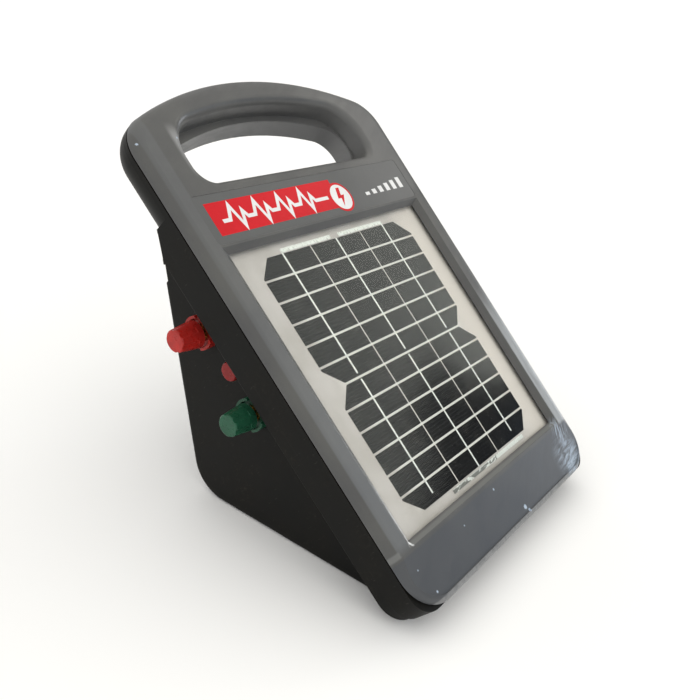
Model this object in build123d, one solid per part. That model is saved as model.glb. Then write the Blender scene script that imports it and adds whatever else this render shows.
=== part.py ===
from build123d import *
import math
import os

# Solar fence energizer: a carry handle, a framed solar panel on a sloping front cover,
# and a wedge-shaped rear housing that holds a 12 V battery and the pulse electronics.
#
# Millimetres. World frame: +X to the viewer's right, -Y to the front, +Z up, origin at the
# middle of the flat base that the unit stands on.
# Most pieces are drawn in the panel frame: x across, y up the slope, z out of the panel,
# with the origin at the middle of the cells' plane. place() puts them in the world frame.

# ---------------------------------------------------------------- driving dimensions
PANEL_TILT = 39.0          # slope of the panel above the horizontal base
BACK_ANGLE = 35.0          # back wall of the wedge, measured from the panel plane

HALF_WIDTH = 117.0         # outline of cover and rim
TOP = 205.8                # crown of the handle arch
BOTTOM = 135.0             # lower edge, below the panel's middle
ARCH_R = 260.0
SHOULDER_R = 25.0
FOOT_R = 26.0              # foot corners of the cover
RIM_FOOT_R = (16.0, 19.5)  # foot corners of the rim, before and behind its step

COVER_TOP = 5.0            # front face of the cover
COVER_EDGE = 3.0           # where the sloped border starts on the side wall
BORDER = 6.0               # width of that sloped border
COVER_PLATE = 2.8          # moulded wall of the cover
EDGE_ROUND = 4.0           # rounding from the side wall into the border
CREST_ROUND = 12.0         # rounding from the border into the flat field
CHIN_TOP = -98.5           # fold line where the chin starts to slope down
CHIN_DROP = 1.8            # its depth at the lower end
CHIN_LIP = 4.0             # width of the lip left standing round it
DRAFT = 1.0                # inward lean of the cover's side wall

HOLE_HALF = 84.0           # hand hole, at its front
HOLE_BOTTOM = 138.2
HOLE_TOP = 188.5
HOLE_ARCH_R = 300.0
HOLE_TOP_R = 26.0
HOLE_FOOT_R = 12.0
HOLE_STEP = -10.0          # height of the ledge inside the hand hole
HOLE_LIP = 5.0             # rounding of the hole's front edge
REAR_HOLE_HALF = 80.6      # hand hole, at its rear
REAR_HOLE_BOTTOM = 141.0
REAR_HOLE_TOP = 182.4
REAR_HOLE_ARCH_R = 230.0
REAR_HOLE_TOP_R = 17.0
REAR_HOLE_FOOT_R = 12.0

WINDOW_BASE = (192.6, 188.6)    # clear opening over the glass
WINDOW_CREST = (203.0, 196.0)   # opening at the cover's front face
WINDOW_SEAT = 1.6               # underside of the window frame
LABEL = (99.5, 131.0, 102.3)    # lower edge, upper edge and half width of the label's recess
LABEL_R = 2.5
CREST_EDGE = 0.35               # rounding of the window's outer edge
LABEL_DEPTH = 0.4

RIM_DEPTH = 25.0           # rear rim, from the cell plane
RIM_TOP = 110.0            # where the full-depth rim ends, up the slope
RIM_RUNOUT = 126.0         # where its slope has run out into the handle
HANDLE_ROUND = 20.5        # rounding of the handle's rear edge
WALL = 3.0                 # wall of the rear housing
SEAL = 1.0                 # gap between cover and housing, filled by the seal
PARTITION = (126.0, 129.0) # wall between the battery room and the hollow handle

WEDGE_HALF = 99.0          # outer side walls of the wedge
WEDGE_DEPTH = 132.5        # rear corner of the wedge, before rounding
WEDGE_TOP = 125.0
REAR_R = 27.0              # rounding of the rear bottom corner
GROOVE = (109.0, 118.5)    # hanging groove across the back wall
GROOVE_DEPTH = 4.0
WEDGE_EDGE = 4.0           # rounding of the wedge's side edges
RIM_STEP = (-16.0, 0.2)    # depth and width of the fine step along the rim
RIM_EDGE = 0.8             # rounding of the rim's rear edge

CELL = (52.0, 13.2, 0.2)
CELL_GAP = (1.2, 1.5)
CELL_ROWS = 12
CELL_COLUMNS = 3
CELL_CORNER = 12.0         # cut corners of the pseudo-square wafers
GLASS = (202.0, 197.0, 2.0)
GLASS_TOP = 0.8
CELL_TOP = -1.3
SHEET = 0.4
BOARD = 1.6

TERMINAL_MID = 43.0        # button between the two terminals, up the slope
TERMINAL_STEP = 28.5
TERMINAL_DEPTH = -45.5
STUD_R = 3.0
THREAD_PITCH = 1.0
KNOB_GAP = 3.1             # room for the wire under the clamp washer
RUNNING = 0.05             # radial clearance of a running fit

BATTERY = (151.0, 65.0, 94.0)
BATTERY_LEFT = -56.5
BATTERY_BACK = 15.0        # from the wedge's rear corner, along the base
PAD = 1.0

DIVIDER_X = (-60.5, -58.5)
BOARD_X = (-66.1, -64.5)

SCREWS_SIDE = [(side * 108.5, up) for side in (-1, 1) for up in (-108, -38, 33, 104)]
SCREWS_HANDLE = [(side * 100.0, 158.0) for side in (-1, 1)]
CLIPS = [(side * 107.0, up) for side in (-1, 1) for up in (-73, 0, 70)]

# ---------------------------------------------------------------- frames
tilt = math.radians(PANEL_TILT)
BASE_HEIGHT = BOTTOM * math.sin(tilt) + RIM_DEPTH * math.cos(tilt)


def to_world(y, z):
    """World Y and Z of a panel-frame point, before the shift along Y."""
    return y * math.cos(tilt) - z * math.sin(tilt), y * math.sin(tilt) + z * math.cos(tilt)


# Rear corner of the wedge: on the base plane, and WEDGE_DEPTH behind the panel.
corner_up = -BOTTOM + (WEDGE_DEPTH - RIM_DEPTH) / math.tan(tilt)
corner = (corner_up, -WEDGE_DEPTH)
front_y = to_world(-BOTTOM, -RIM_DEPTH)[0]
rear_y = to_world(*corner)[0]
MIDDLE = -(front_y + rear_y) / 2
REAR_Y = rear_y + MIDDLE
panel_frame = Location((0, MIDDLE, BASE_HEIGHT), (PANEL_TILT, 0, 0))


def place(shape):
    return panel_frame * shape


def at(z, shape):
    return Pos(0, 0, z) * shape


def back_z(y, inside=0.0):
    """Depth of the back wall at slope position y, or of a face that far inside it."""
    back = math.radians(BACK_ANGLE)
    return corner[1] + (y - corner[0]) * math.tan(back) + inside / math.cos(back)


def base_z(y, inside=0.0):
    """Depth of the base at slope position y, or of a face that far inside it."""
    return corner[1] - (y - corner[0]) * math.tan(tilt) + inside / math.cos(tilt)


def side_section(points, half):
    """Solid with the given outline in the panel frame's y-z plane, centred on x = 0."""
    face = make_face(Polyline(*[(0, y, z) for y, z in points], close=True))
    return extrude(face, half, dir=(1, 0, 0), both=True)


def slab(x_range, y_range, z_range):
    size = [b - a for a, b in (x_range, y_range, z_range)]
    middle = [(a + b) / 2 for a, b in (x_range, y_range, z_range)]
    return Pos(*middle) * Box(*size)


def post(x, y, z_range, radius):
    low, high = z_range
    return Pos(x, y, (low + high) / 2) * Cylinder(radius, high - low)


def arched_face(half, bottom, top, arch_r, top_r, foot_r):
    """A shape with a flat foot, straight sides and an arched top, corners rounded."""
    spring = top - arch_r + math.sqrt(arch_r ** 2 - half ** 2)
    sides = Polyline((-half, spring), (-half, bottom), (half, bottom), (half, spring))
    arch = ThreePointArc((half, spring), (0, top), (-half, spring))
    face = make_face(sides + arch)
    face = fillet(face.vertices().sort_by(Axis.Y)[:2], foot_r)
    return fillet(face.vertices().sort_by(Axis.Y)[-2:], top_r)


def outline(inset=0.0, foot_r=FOOT_R):
    return arched_face(HALF_WIDTH - inset, -BOTTOM + inset, TOP - inset, ARCH_R - inset,
                       SHOULDER_R - inset, foot_r - inset)


def hole(inset=0.0):
    return arched_face(HOLE_HALF - inset, HOLE_BOTTOM + inset, HOLE_TOP - inset,
                       HOLE_ARCH_R - inset, HOLE_TOP_R - inset, HOLE_FOOT_R - inset)


def rear_hole(offset=0.0):
    return arched_face(REAR_HOLE_HALF + offset, REAR_HOLE_BOTTOM - offset,
                       REAR_HOLE_TOP + offset, REAR_HOLE_ARCH_R + offset,
                       REAR_HOLE_TOP_R + offset, REAR_HOLE_FOOT_R + offset)


def between(low_face, low_z, high_face, high_z):
    """Straight-sided solid from one flat shape up to another."""
    return loft([at(low_z, low_face), at(high_z, high_face)], ruled=True)


def window(size, inset=0.0):
    return Rectangle(size[0] - 2 * inset, size[1] - 2 * inset)


# ---------------------------------------------------------------- housing
def front_cover():
    """Shallow grey tray: sloped border, framed window, hand hole with a stepped tube."""
    wall = between(outline(), 0, outline(DRAFT), COVER_EDGE)
    border = between(outline(DRAFT), COVER_EDGE, outline(BORDER), COVER_TOP)
    tray = wall + border
    tray = fillet([e for e in tray.edges() if abs(e.center().Z - COVER_EDGE) < 0.01], EDGE_ROUND)
    tray = fillet([e for e in tray.edges() if abs(e.center().Z - COVER_TOP) < 0.01], CREST_ROUND)
    cavity = extrude(outline(COVER_PLATE), COVER_TOP - COVER_PLATE)
    cavity -= slab((-150, 150), (-150, CHIN_TOP - 4), (COVER_TOP - COVER_PLATE - CHIN_DROP, 9))
    frame_size = [side + 16 for side in WINDOW_BASE]
    frame = at(WINDOW_SEAT, extrude(Rectangle(*frame_size), COVER_TOP - COVER_PLATE - WINDOW_SEAT))
    opening = between(window(WINDOW_BASE), WINDOW_SEAT, window(WINDOW_CREST), COVER_TOP)
    tube_front = at(HOLE_STEP - 2.4, extrude(hole(-3.4), COVER_TOP - HOLE_STEP))
    tube_rear = at(-RIM_DEPTH + 0.4, extrude(rear_hole(3.2), HOLE_STEP + RIM_DEPTH - 0.4))
    bore_front = between(hole(1.2), HOLE_STEP, hole(0), COVER_TOP)
    bore_rear = between(rear_hole(0), -RIM_DEPTH, rear_hole(1), HOLE_STEP)
    label = at(COVER_TOP - LABEL_DEPTH, extrude(label_shape(), 1))

    body = tray - cavity + frame + tube_front + tube_rear
    body -= opening + bore_front + bore_rear + label + chin_cut()
    for x, y in SCREWS_SIDE + SCREWS_HANDLE:
        body += post(x, y, (-6, 3), 4.0)
        body -= post(x, y, (-6, 1.0), 2.0)
    for x, y in CLIPS:
        body += post(x, y, (-3.5, 3), 3.0)
        body -= post(x, y, (-3.5, 1.0), 1.25)
    lip = [e for e in body.edges().group_by(Axis.Z)[-1] if e.center().Y > HOLE_BOTTOM - 1
           and abs(e.center().X) < HOLE_HALF + 2 and e.center().Y < HOLE_TOP + 1]
    body = fillet(lip, HOLE_LIP)
    for side in (-1, 1):
        crest = [e for e in body.edges() if abs(e.center().Z - COVER_TOP) < 0.01
                 and abs(e.center().X - side * WINDOW_CREST[0] / 2) < 0.01]
        body = fillet(crest, CREST_EDGE)
    return body


def chin_cut():
    """Air above the chin, which slopes down from the window to a step inside the bottom lip."""
    fall = CHIN_DROP / (BOTTOM - CHIN_LIP + CHIN_TOP)
    low = -BOTTOM - 5
    air = side_section([(CHIN_TOP, COVER_TOP), (CHIN_TOP, COVER_TOP + 5), (low, COVER_TOP + 5),
                        (low, COVER_TOP - fall * (CHIN_TOP - low))], 150)
    return air & extrude(outline(CHIN_LIP), COVER_TOP + 5)


def label_shape():
    """Shallow field between the hand hole and the window."""
    low, high, half = LABEL
    return Pos(0, (low + high) / 2) * RectangleRounded(2 * half, high - low, LABEL_R)


def rim_shell(inset):
    """Rounded handle above, square-edged rim below, both to the same rear plane."""
    depth = RIM_DEPTH - inset
    prism = at(-depth, extrude(outline(inset), depth - SEAL + inset * 2))
    rear_edges = prism.edges().group_by(Axis.Z)[0]
    handle = fillet(rear_edges, HANDLE_ROUND - inset)
    handle &= slab((-150, 150), (RIM_TOP, 250), (-60, 20))
    runout = side_section([(RIM_TOP + inset, -RIM_DEPTH - 9), (RIM_TOP + inset, -depth),
                           (RIM_RUNOUT + inset, -depth + 10), (RIM_RUNOUT + 90, -depth + 10),
                           (RIM_RUNOUT + 90, -RIM_DEPTH - 9)], 150)
    rim = (prism if inset else stepped_rim()) & slab((-150, 150), (-150, RIM_RUNOUT + inset), (-60, 20))
    return handle + (rim - runout)


def stepped_rim():
    step_z, step_in = RIM_STEP
    front_r, rear_r = RIM_FOOT_R
    foot = at(-RIM_DEPTH, extrude(outline(step_in, rear_r + step_in), RIM_DEPTH + step_z))
    foot = fillet(foot.edges().group_by(Axis.Z)[0], RIM_EDGE)
    return foot + at(step_z, extrude(outline(0.0, front_r), -SEAL - step_z))


def wedge_room(inset):
    """Wedge behind the panel; with an inset, the room left inside its walls."""
    top = WEDGE_TOP - inset
    low = -BOTTOM + inset * 2.2
    rear = (corner[0], corner[1] + inset / math.sin(math.radians(180 - PANEL_TILT - BACK_ANGLE) / 2))
    if inset:
        step = GROOVE[0] - inset - 2
        points = [(low, base_z(low, inset)), (low, -8), (top, -8),
                  (top, back_z(top, inset + GROOVE_DEPTH)),
                  (step, back_z(step, inset + GROOVE_DEPTH)), (step, back_z(step, inset)), rear]
    else:
        front = -BOTTOM + 1
        points = [(front, base_z(front)), (front, -12), (top + 1, -12), (top, -40),
                  (top - 3, back_z(top - 3)), rear]
    solid = side_section(points, WEDGE_HALF - inset)
    along = solid.edges().filter_by(Axis.X)
    rear_edge = min(along, key=lambda e: e.center().Z)
    solid = fillet(rear_edge, REAR_R - inset)
    if inset:
        return solid
    sides = solid.faces().filter_by(Axis.X).edges()
    solid = fillet([e for e in sides if e.center().Z < -RIM_DEPTH - 5], WEDGE_EDGE)
    within = outline(RIM_STEP[1], RIM_FOOT_R[1] + RIM_STEP[1])
    return solid & at(-WEDGE_DEPTH - 1, extrude(within, WEDGE_DEPTH + 1))


def side_frame(x, y, z):
    """Frame on a face that looks along -X: its z axis points to -X, its x axis up the slope."""
    return Plane(origin=(x, y, z), x_dir=(0, 1, 0), z_dir=(-1, 0, 0)).location


TERMINALS = {"fence": TERMINAL_MID + TERMINAL_STEP, "earth": TERMINAL_MID - TERMINAL_STEP}


def rear_housing():
    """Black shell: hollow handle back, rim, and the wedge with its battery room."""
    room = rim_shell(WALL) + wedge_room(WALL)
    room -= slab((-150, 150), PARTITION, (-RIM_DEPTH, 10))
    body = rim_shell(0) + wedge_room(0) - room
    body -= at(-RIM_DEPTH - 1, extrude(rear_hole(3.5), 8))

    low, high = GROOVE
    body -= side_section([(low, back_z(low) - 6), (low, back_z(low, GROOVE_DEPTH)),
                          (high, back_z(high, GROOVE_DEPTH)), (high, back_z(high) - 6)], 150)
    for x, y in SCREWS_SIDE + SCREWS_HANDLE:
        body += post(x, y, (-RIM_DEPTH + 2, -6), 4.5)
        body -= post(x, y, (-RIM_DEPTH - 1, -6), 2.3)
        body -= post(x, y, (-RIM_DEPTH - 1, -RIM_DEPTH + 2.8), 3.9)
    for y in TERMINALS.values():
        body -= side_frame(-WEDGE_HALF, y, TERMINAL_DEPTH) * Cylinder(4.0, 20)
    body -= side_frame(-WEDGE_HALF, TERMINAL_MID, TERMINAL_DEPTH) * Cylinder(6.4, 20)
    return body


def cover_seal():
    return at(-SEAL, extrude(outline(0.8) - outline(2.4), SEAL))


def screw(x, y, head_z, head_r, head_h, shank_r, length):
    """Pan-head screw whose head sits below head_z and whose shank points up."""
    head = post(x, y, (head_z - head_h, head_z), head_r)
    head = fillet(head.edges().group_by(Axis.Z)[0], head_h * 0.45)
    for size in ((head_r * 1.2, head_r * 0.28), (head_r * 0.28, head_r * 1.2)):
        head -= Pos(x, y, head_z - head_h) * Box(*size, head_h * 1.2)
    return head + post(x, y, (head_z, head_z + length), shank_r)


def housing_screws():
    return [screw(x, y, -RIM_DEPTH + 2.8, 3.5, 2.4, 2.0, 22) for x, y in SCREWS_SIDE + SCREWS_HANDLE]


# ---------------------------------------------------------------- solar panel
def panel_glass():
    return slab_at(GLASS[0], GLASS[1], (GLASS_TOP - GLASS[2], GLASS_TOP))


def slab_at(width, height, z_range):
    return slab((-width / 2, width / 2), (-height / 2, height / 2), z_range)


def panel_gasket():
    ring = slab_at(GLASS[0], GLASS[1], (GLASS_TOP, WINDOW_SEAT))
    return ring - slab_at(WINDOW_BASE[0] + 0.8, WINDOW_BASE[1] + 0.8, (0, 3))


def cell_origin(column, row):
    x = (column - (CELL_COLUMNS - 1) / 2) * (CELL[0] + CELL_GAP[0])
    y = ((CELL_ROWS - 1) / 2 - row) * (CELL[1] + CELL_GAP[1])
    return x, y


def solar_cells():
    """Each wafer is cut into six strips, so rows 1, 6, 7 and 12 keep its cut corners."""
    cells = []
    for column in range(CELL_COLUMNS):
        for row in range(CELL_ROWS):
            face = Rectangle(CELL[0], CELL[1])
            side = column - (CELL_COLUMNS - 1) / 2
            if side and row % (CELL_ROWS // 2) in (0, CELL_ROWS // 2 - 1):
                upper = row % (CELL_ROWS // 2) == 0
                corners = face.vertices().group_by(Axis.Y)[-1 if upper else 0]
                corner_point = corners.sort_by(Axis.X)[-1 if side > 0 else 0]
                face = chamfer(corner_point, CELL_CORNER)
            x, y = cell_origin(column, row)
            cells.append(Pos(x, y, CELL_TOP - CELL[2]) * extrude(face, CELL[2]))
    return cells


def cell_ribbons():
    """Tinned strips on the cells' faces, with collector strips past both ends."""
    pitch_x = CELL[0] + CELL_GAP[0]
    half_y = (CELL_ROWS * (CELL[1] + CELL_GAP[1]) - CELL_GAP[1]) / 2
    level = (CELL_TOP, CELL_TOP + 0.08)
    ribbons = []
    for column in (-1, 0, 1):
        x = column * pitch_x
        ribbons.append(slab((x - 0.7, x + 0.7), (2.5, half_y + (0 if column == 0 else 3.4)), level))
        ribbons.append(slab((x - 0.7, x + 0.7), (-half_y + (0 if column == 0 else 5), -1.5), level))
    top, foot = half_y + 2.0, -half_y - 2.6
    strips = [(-pitch_x + 0.7, -4.5, top), (4.0, pitch_x - 0.7, top), (-36.0, 62.0, foot)]
    for x_low, x_high, y in strips:
        ribbons.append(slab((x_low, x_high), (y - 1.4, y + 1.4), level))
    return ribbons


def panel_backsheet():
    top = CELL_TOP - CELL[2]
    return slab_at(GLASS[0], GLASS[1], (top - SHEET, top))


def panel_board():
    top = CELL_TOP - CELL[2] - SHEET
    return slab_at(GLASS[0], GLASS[1], (top - BOARD, top))


PANEL_BACK = CELL_TOP - CELL[2] - SHEET - BOARD
JUNCTION = ((-25, 25), (78, 108), (PANEL_BACK - 11, PANEL_BACK))


def panel_clips():
    """Small plates on the cover's posts whose tongues reach under the panel."""
    clips = []
    for x, y in CLIPS:
        side = math.copysign(1, x)
        span = sorted((x + side * 4, side * (GLASS[0] / 2 - 5)))
        plate = slab(span, (y - 6, y + 6), (PANEL_BACK - 1.5, PANEL_BACK))
        clips.append(plate - post(x, y, (PANEL_BACK - 2, PANEL_BACK + 1), 1.4))
    return clips


def clip_screws():
    return [screw(x, y, PANEL_BACK - 1.5, 2.6, 1.8, 1.25, 6) for x, y in CLIPS]


def junction_box():
    box = slab(*JUNCTION)
    return fillet(box.edges().filter_by(Axis.Z), 3)


def label_film():
    return at(COVER_TOP - LABEL_DEPTH, extrude(offset(label_shape(), -0.1), 0.25))


# ---------------------------------------------------------------- terminals and button
def terminal_base():
    """Insulating collar with two raised ears that keep the wire under the washer."""
    body = post(0, 0, (0, 2.6), 10.6) + post(0, 0, (-WALL, 0), 4.0)
    ears = post(0, 0, (2, 6.0), 10.6) - post(0, 0, (2, 6.0), 9.0)
    ears &= slab((-12, 12), (-5.5, 5.5), (2, 6))
    return body + ears - post(0, 0, (-WALL, 7), STUD_R)


SHOULDER_TOP = 4.1
WASHER_TOP = SHOULDER_TOP + KNOB_GAP + 1.0
KNOB_FOOT = WASHER_TOP + 0.05
KNOB_END = 24.0


def terminal_stud():
    return post(0, 0, (-14, 17), STUD_R) + post(0, 0, (2.6, SHOULDER_TOP), 5.5)


def terminal_washer():
    washer = post(0, 0, (WASHER_TOP - 1.0, WASHER_TOP), 6.5)
    return washer - post(0, 0, (0, 20), STUD_R + RUNNING)


def terminal_knob():
    """Tapered grip with six scalloped flutes and a blind bore for the stud."""
    knob = between(Circle(8.5), KNOB_FOOT, Circle(6.9), KNOB_END)
    knob = fillet(knob.edges().group_by(Axis.Z)[-1], 1.0)
    for index in range(6):
        turn = Rot(0, 0, 60 * index + 30)
        knob -= turn * Pos(11.4, 0, KNOB_FOOT + 4) * Rot(0, -5, 0) * post(0, 0, (0, 30), 4.0)
    return knob - post(0, 0, (KNOB_FOOT - 1, KNOB_FOOT + 12.2), STUD_R + RUNNING)


def terminal_nut():
    nut = at(-WALL - 6, extrude(RegularPolygon(5.77, 6), 5))
    return nut - post(0, 0, (-12, 0), STUD_R)


def terminal_lug(direction):
    """Ring lug with a crimp barrel along the slope: direction 1 up, -1 down."""
    top, under = -WALL, -WALL - 1
    lug = post(0, 0, (under, top), 5.5)
    lug += slab(sorted((0, direction * 12)), (-2.2, 2.2), (under, top))
    barrel = Pos(direction * 11, 0, under - 1.2) * Rot(0, 90, 0) * Cylinder(2.2, 6)
    return lug + (barrel - slab((-20, 20), (-5, 5), (under, 0))) - post(0, 0, (-12, 0), STUD_R)


def power_button():
    cap = post(0, 0, (-WALL - 0.1, 1.8), 6.0)
    cap = fillet(cap.edges().group_by(Axis.Z)[-1], 1.2)
    cap += post(0, 0, (-WALL - 1.6, -WALL - 0.05), 7.2)
    return cap + post(0, 0, (-12, -WALL - 1.6), 2.0)


def switch_body():
    body = post(0, 0, (-20, -WALL), 9.5) - post(0, 0, (-8, -WALL), 7.6)
    return body - post(0, 0, (-15, -8), 2.0 + RUNNING)


# ---------------------------------------------------------------- battery room
def battery_span():
    """World-frame box of the battery: x, y and z ranges."""
    back = REAR_Y - BATTERY_BACK
    floor = WALL + PAD
    return ((BATTERY_LEFT, BATTERY_LEFT + BATTERY[0]), (back - BATTERY[1], back),
            (floor, floor + BATTERY[2]))


def battery():
    x_range, y_range, z_range = battery_span()
    case = slab(x_range, y_range, z_range)
    case = fillet(case.edges().filter_by(Axis.Z), 2.0)
    lid_line = z_range[1] - 9
    groove = slab(x_range, y_range, (lid_line, lid_line + 0.8))
    middle = ((x_range[0] + x_range[1]) / 2, (y_range[0] + y_range[1]) / 2, lid_line + 0.4)
    return case - (groove - Pos(*middle) * Box(BATTERY[0] - 1, BATTERY[1] - 1, 2))


TAB_INSET = 11.0


def tab_places():
    x_range, y_range, z_range = battery_span()
    return [(x, y_range[1] - TAB_INSET, z_range[1]) for x in
            (x_range[0] + TAB_INSET, x_range[1] - TAB_INSET)]


def battery_tabs():
    return [Pos(x, y, z + 3) * Box(6.3, 0.8, 6) for x, y, z in tab_places()]


def tab_boots():
    """Insulated push-on connectors over the battery's tabs."""
    return [Pos(x, y, z + 4.5) * (Box(9, 4, 8) - Pos(0, 0, -1.5) * Box(6.3, 0.8, 6))
            for x, y, z in tab_places()]


def battery_pad():
    x_range, y_range, _ = battery_span()
    return slab((x_range[0] + 3, x_range[1] - 3), (y_range[0] + 2, y_range[1] - 4), (WALL, WALL + PAD))


def battery_foam():
    """Block that fills the room between the battery and the front of the wedge."""
    x_range, y_range, _ = battery_span()
    front = y_range[0]
    return slab((x_range[0] + 20, x_range[1] - 20), (front - 26, front), (WALL, 42))


# ---------------------------------------------------------------- electronics
DIVIDER_TOP = -17.0
BOARD_SPAN = ((-44, 66), (-76, -19))
BOARD_HOLES = [(y, z) for y in (-39, 61) for z in (-71, -24)]


def divider_plate():
    """Wall between battery and electronics, with four pillars for the circuit board."""
    plate = wedge_room(WALL + 0.3) & slab(DIVIDER_X, (-124, 112), (-128, DIVIDER_TOP))
    for y, z in BOARD_HOLES:
        pillar = side_frame(DIVIDER_X[0], y, z) * post(0, 0, (-1, DIVIDER_X[0] - BOARD_X[1]), 3.5)
        plate += pillar
        plate -= side_frame(DIVIDER_X[0], y, z) * post(0, 0, (-1, 6), 1.4)
    return plate


def circuit_board():
    board = slab(BOARD_X, *BOARD_SPAN)
    for y, z in BOARD_HOLES:
        board -= side_frame(BOARD_X[0], y, z) * post(0, 0, (-3, 2), 1.6)
    return board


def board_screws():
    frame = [side_frame(BOARD_X[0], y, z) for y, z in BOARD_HOLES]
    return [f * (post(0, 0, (0, 1.8), 2.7) + post(0, 0, (-5.5, 0), 1.4)) for f in frame]


def on_board(y, z, shape):
    """Stand a shape, drawn with z away from the board, on the board at (y, z)."""
    return side_frame(BOARD_X[0], y, z) * shape


CORE_AT = (-22.0, -48.0)


def transformer_core():
    core = Box(34, 28, 12)
    for side in (-1, 1):
        core -= Pos(side * 8.5, 0, 0) * Box(7, 16, 12)
    return on_board(*CORE_AT, Pos(0, 0, 11) * core)


def transformer_winding():
    coil = fillet(Box(23.4, 15.6, 22).edges().filter_by(Axis.Y), 3)
    return on_board(*CORE_AT, Pos(0, 0, 11) * (coil - Box(10, 16, 12)))


def storage_capacitor():
    can = fillet(Cylinder(9, 32).edges(), 0.8)
    return on_board(17, -66, Pos(0, 0, 9) * Rot(0, 90, 0) * can)


def board_components():
    """Relay, driver chip, thyristor and two small capacitors."""
    parts = [on_board(46, -66, Pos(0, 0, 7.5) * Box(19, 15, 15)),
             on_board(-29, -29, Pos(0, 0, 1.5) * Box(9, 6, 3)),
             on_board(32, -28, Pos(0, 0, 5) * Box(10, 4, 10))]
    for y in (-18, -9):
        parts.append(on_board(y, -27, Pos(0, 0, 5) * Cylinder(3, 10)))
    return parts


CONNECTOR_Y = (50.0, 2.0)
CONNECTOR_TOP = -20.5


def board_connectors():
    return [on_board(y, CONNECTOR_TOP - 4.5, Pos(0, 0, 5) * Box(11, 9, 10)) for y in CONNECTOR_Y]


def lead(points, radius):
    """Round lead along straight runs joined by arcs as large as the runs allow."""
    runs = [math.dist(a, b) for a, b in zip(points, points[1:])]
    radii = []
    for index in range(1, len(points) - 1):
        before = Vector(*points[index]) - Vector(*points[index - 1])
        after = Vector(*points[index + 1]) - Vector(*points[index])
        half_turn = math.radians(before.get_angle(after)) / 2
        radii.append(0.45 * min(runs[index - 1], runs[index]) / math.tan(half_turn))
    path = FilletPolyline(*points, radius=radii)
    return sweep(Plane(origin=path @ 0, z_dir=path % 0) * Circle(radius), path)


LUG_REACH = 14.0
LUG_X = -WEDGE_HALF + WALL + 2.2


def fence_lead():
    start = TERMINALS["fence"] + LUG_REACH
    return lead([(LUG_X, start, TERMINAL_DEPTH), (LUG_X, start + 9, TERMINAL_DEPTH),
                 (-88, 98, -31), (-82, 84, -16), (-79, 58, -11), (-74, 28, -8),
                 (-71.1, 4.5, -8), (-71.1, 4.5, CONNECTOR_TOP)], 1.5)


def earth_lead():
    start = TERMINALS["earth"] - LUG_REACH
    return lead([(LUG_X, start, TERMINAL_DEPTH), (LUG_X, start - 12, TERMINAL_DEPTH),
                 (-92, start - 20, -30), (-82, -14, -16), (-71.1, -0.5, -10),
                 (-71.1, -0.5, CONNECTOR_TOP)], 1.5)


def tab_exit(index):
    """Panel-frame point on top of a boot, and the same point a little higher."""
    x, y, z = tab_places()[index]
    low = panel_frame.inverse() * Pos(x, y, z + 8.5)
    high = panel_frame.inverse() * Pos(x, y, z + 17)
    return tuple(low.position), tuple(high.position)


def battery_lead_red():
    low, high = tab_exit(0)
    return lead([low, high, (-51, 56, -12), (-62, 54, -8), (-70.6, 47.5, -9),
                 (-70.6, 47.5, CONNECTOR_TOP)], 1.3)


def battery_lead_black():
    low, high = tab_exit(1)
    return lead([low, high, (72, 60, -17), (42, 66, -12), (0, 64, -13), (-38, 68, -11),
                 (-60, 66, -9), (-70.6, 52.5, -10), (-70.6, 52.5, CONNECTOR_TOP)], 1.3)


def panel_lead():
    depth = PANEL_BACK - 5.5
    return lead([(-25, 93, depth), (-36, 93, depth), (-52, 86, -10), (-66, 79, -14),
                 (-72, 68, -24), (-72, CONNECTOR_Y[0] + 5.5, -24)], 1.2)


# ---------------------------------------------------------------- export
def on_side(y, shape):
    return side_frame(-WEDGE_HALF, y, TERMINAL_DEPTH) * shape


def main():
    panel_pieces = {
        "front_cover": front_cover(), "cover_seal": cover_seal(), "rear_housing": rear_housing(),
        "housing_screws": housing_screws(), "panel_glass": panel_glass(),
        "panel_gasket": panel_gasket(), "solar_cells": solar_cells(),
        "cell_ribbons": cell_ribbons(), "panel_backsheet": panel_backsheet(),
        "panel_board": panel_board(), "panel_clips": panel_clips(), "clip_screws": clip_screws(),
        "junction_box": junction_box(), "label_film": label_film(),
        "power_button": on_side(TERMINAL_MID, power_button()),
        "switch_body": on_side(TERMINAL_MID, switch_body()),
        "divider_plate": divider_plate(), "circuit_board": circuit_board(),
        "board_screws": board_screws(), "transformer_core": transformer_core(),
        "transformer_winding": transformer_winding(), "storage_capacitor": storage_capacitor(),
        "board_components": board_components(), "board_connectors": board_connectors(),
        "fence_lead": fence_lead(), "earth_lead": earth_lead(),
        "battery_lead_red": battery_lead_red(), "battery_lead_black": battery_lead_black(),
        "panel_lead": panel_lead(),
    }
    for name, y in TERMINALS.items():
        lug = terminal_lug(1 if name == "fence" else -1)
        shapes = {"base": terminal_base(), "stud": terminal_stud(), "washer": terminal_washer(),
                  "knob": terminal_knob(), "nut": terminal_nut(), "lug": lug}
        for piece, shape in shapes.items():
            panel_pieces[f"{name}_terminal_{piece}"] = on_side(y, shape)
    pieces = {name: [place(s) for s in shape] if isinstance(shape, list) else place(shape)
              for name, shape in panel_pieces.items()}
    pieces |= {"battery": battery(), "battery_tabs": battery_tabs(), "tab_boots": tab_boots(),
               "battery_pad": battery_pad(), "battery_foam": battery_foam()}

    os.makedirs("parts", exist_ok=True)
    for name, shape in pieces.items():
        if isinstance(shape, list):
            shape = Compound(children=shape)
        export_step(shape, f"parts/{name}.step")
        print(name, round(shape.volume), len(shape.solids()))


main()
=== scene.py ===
from math import cos, pi, radians, sin

import bmesh
import bpy
from mathutils import Matrix, Vector


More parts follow.
